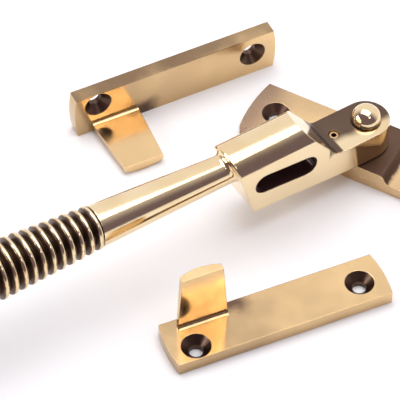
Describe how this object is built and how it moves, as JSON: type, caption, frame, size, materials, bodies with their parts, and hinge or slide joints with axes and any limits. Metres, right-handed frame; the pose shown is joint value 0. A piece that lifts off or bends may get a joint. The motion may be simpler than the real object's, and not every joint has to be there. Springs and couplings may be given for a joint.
{
  "type": "locking casement window fastener",
  "caption": "Casement window fastener with a ribbed beehive grip, night-vent slot, lock screw, screw-on base plate and a left and a right hook plate.",
  "frame": {"origin": "pivot axis at the back face of the base plate", "axes": "+X along the base plate, +Y across it, +Z along the pivot pin away from the window"},
  "size_m": [0.118, 0.1504, 0.0373],
  "materials": {
    "aged_brass": "satin polished, dark patina in corners and on hidden faces",
    "grip_brass": "polished beads, dark brown grooves",
    "pin_brass": "polished dome",
    "washer_brass": "dark, unpolished",
    "steel_screw": "dull bronzed steel"
  },
  "bodies": {
    "base": {"base_plate": "aged_brass", "pivot_pin": "pin_brass", "thrust_washer": "washer_brass", "spring_washer": "washer_brass", "burr_washer": "washer_brass"},
    "handle": {"handle_casting": "aged_brass", "beehive_grip": "grip_brass"},
    "lock": {"lock_screw": "steel_screw"},
    "left_hook": {"hook_plate_left": "aged_brass"},
    "right_hook": {"hook_plate_right": "aged_brass"}
  },
  "joints": [
    {"name": "handle_swing", "type": "hinge", "parent": "base", "child": "handle", "pos_m": [0, 0, 0], "axis": [0, 0, 1], "range_deg": [-155, 8]},
    {"name": "lock_screw_feed", "type": "slide", "parent": "handle", "child": "lock", "axis": [0, 0, -1], "range_m": [0, 0.0016]},
    {"name": "lift_hook_plate_left", "type": "slide", "parent": "base", "child": "left_hook", "axis": [0, 0, 1], "range_m": [0, 0.06]},
    {"name": "lift_hook_plate_right", "type": "slide", "parent": "base", "child": "right_hook", "axis": [0, 0, 1], "range_m": [0, 0.06]}
  ]
}
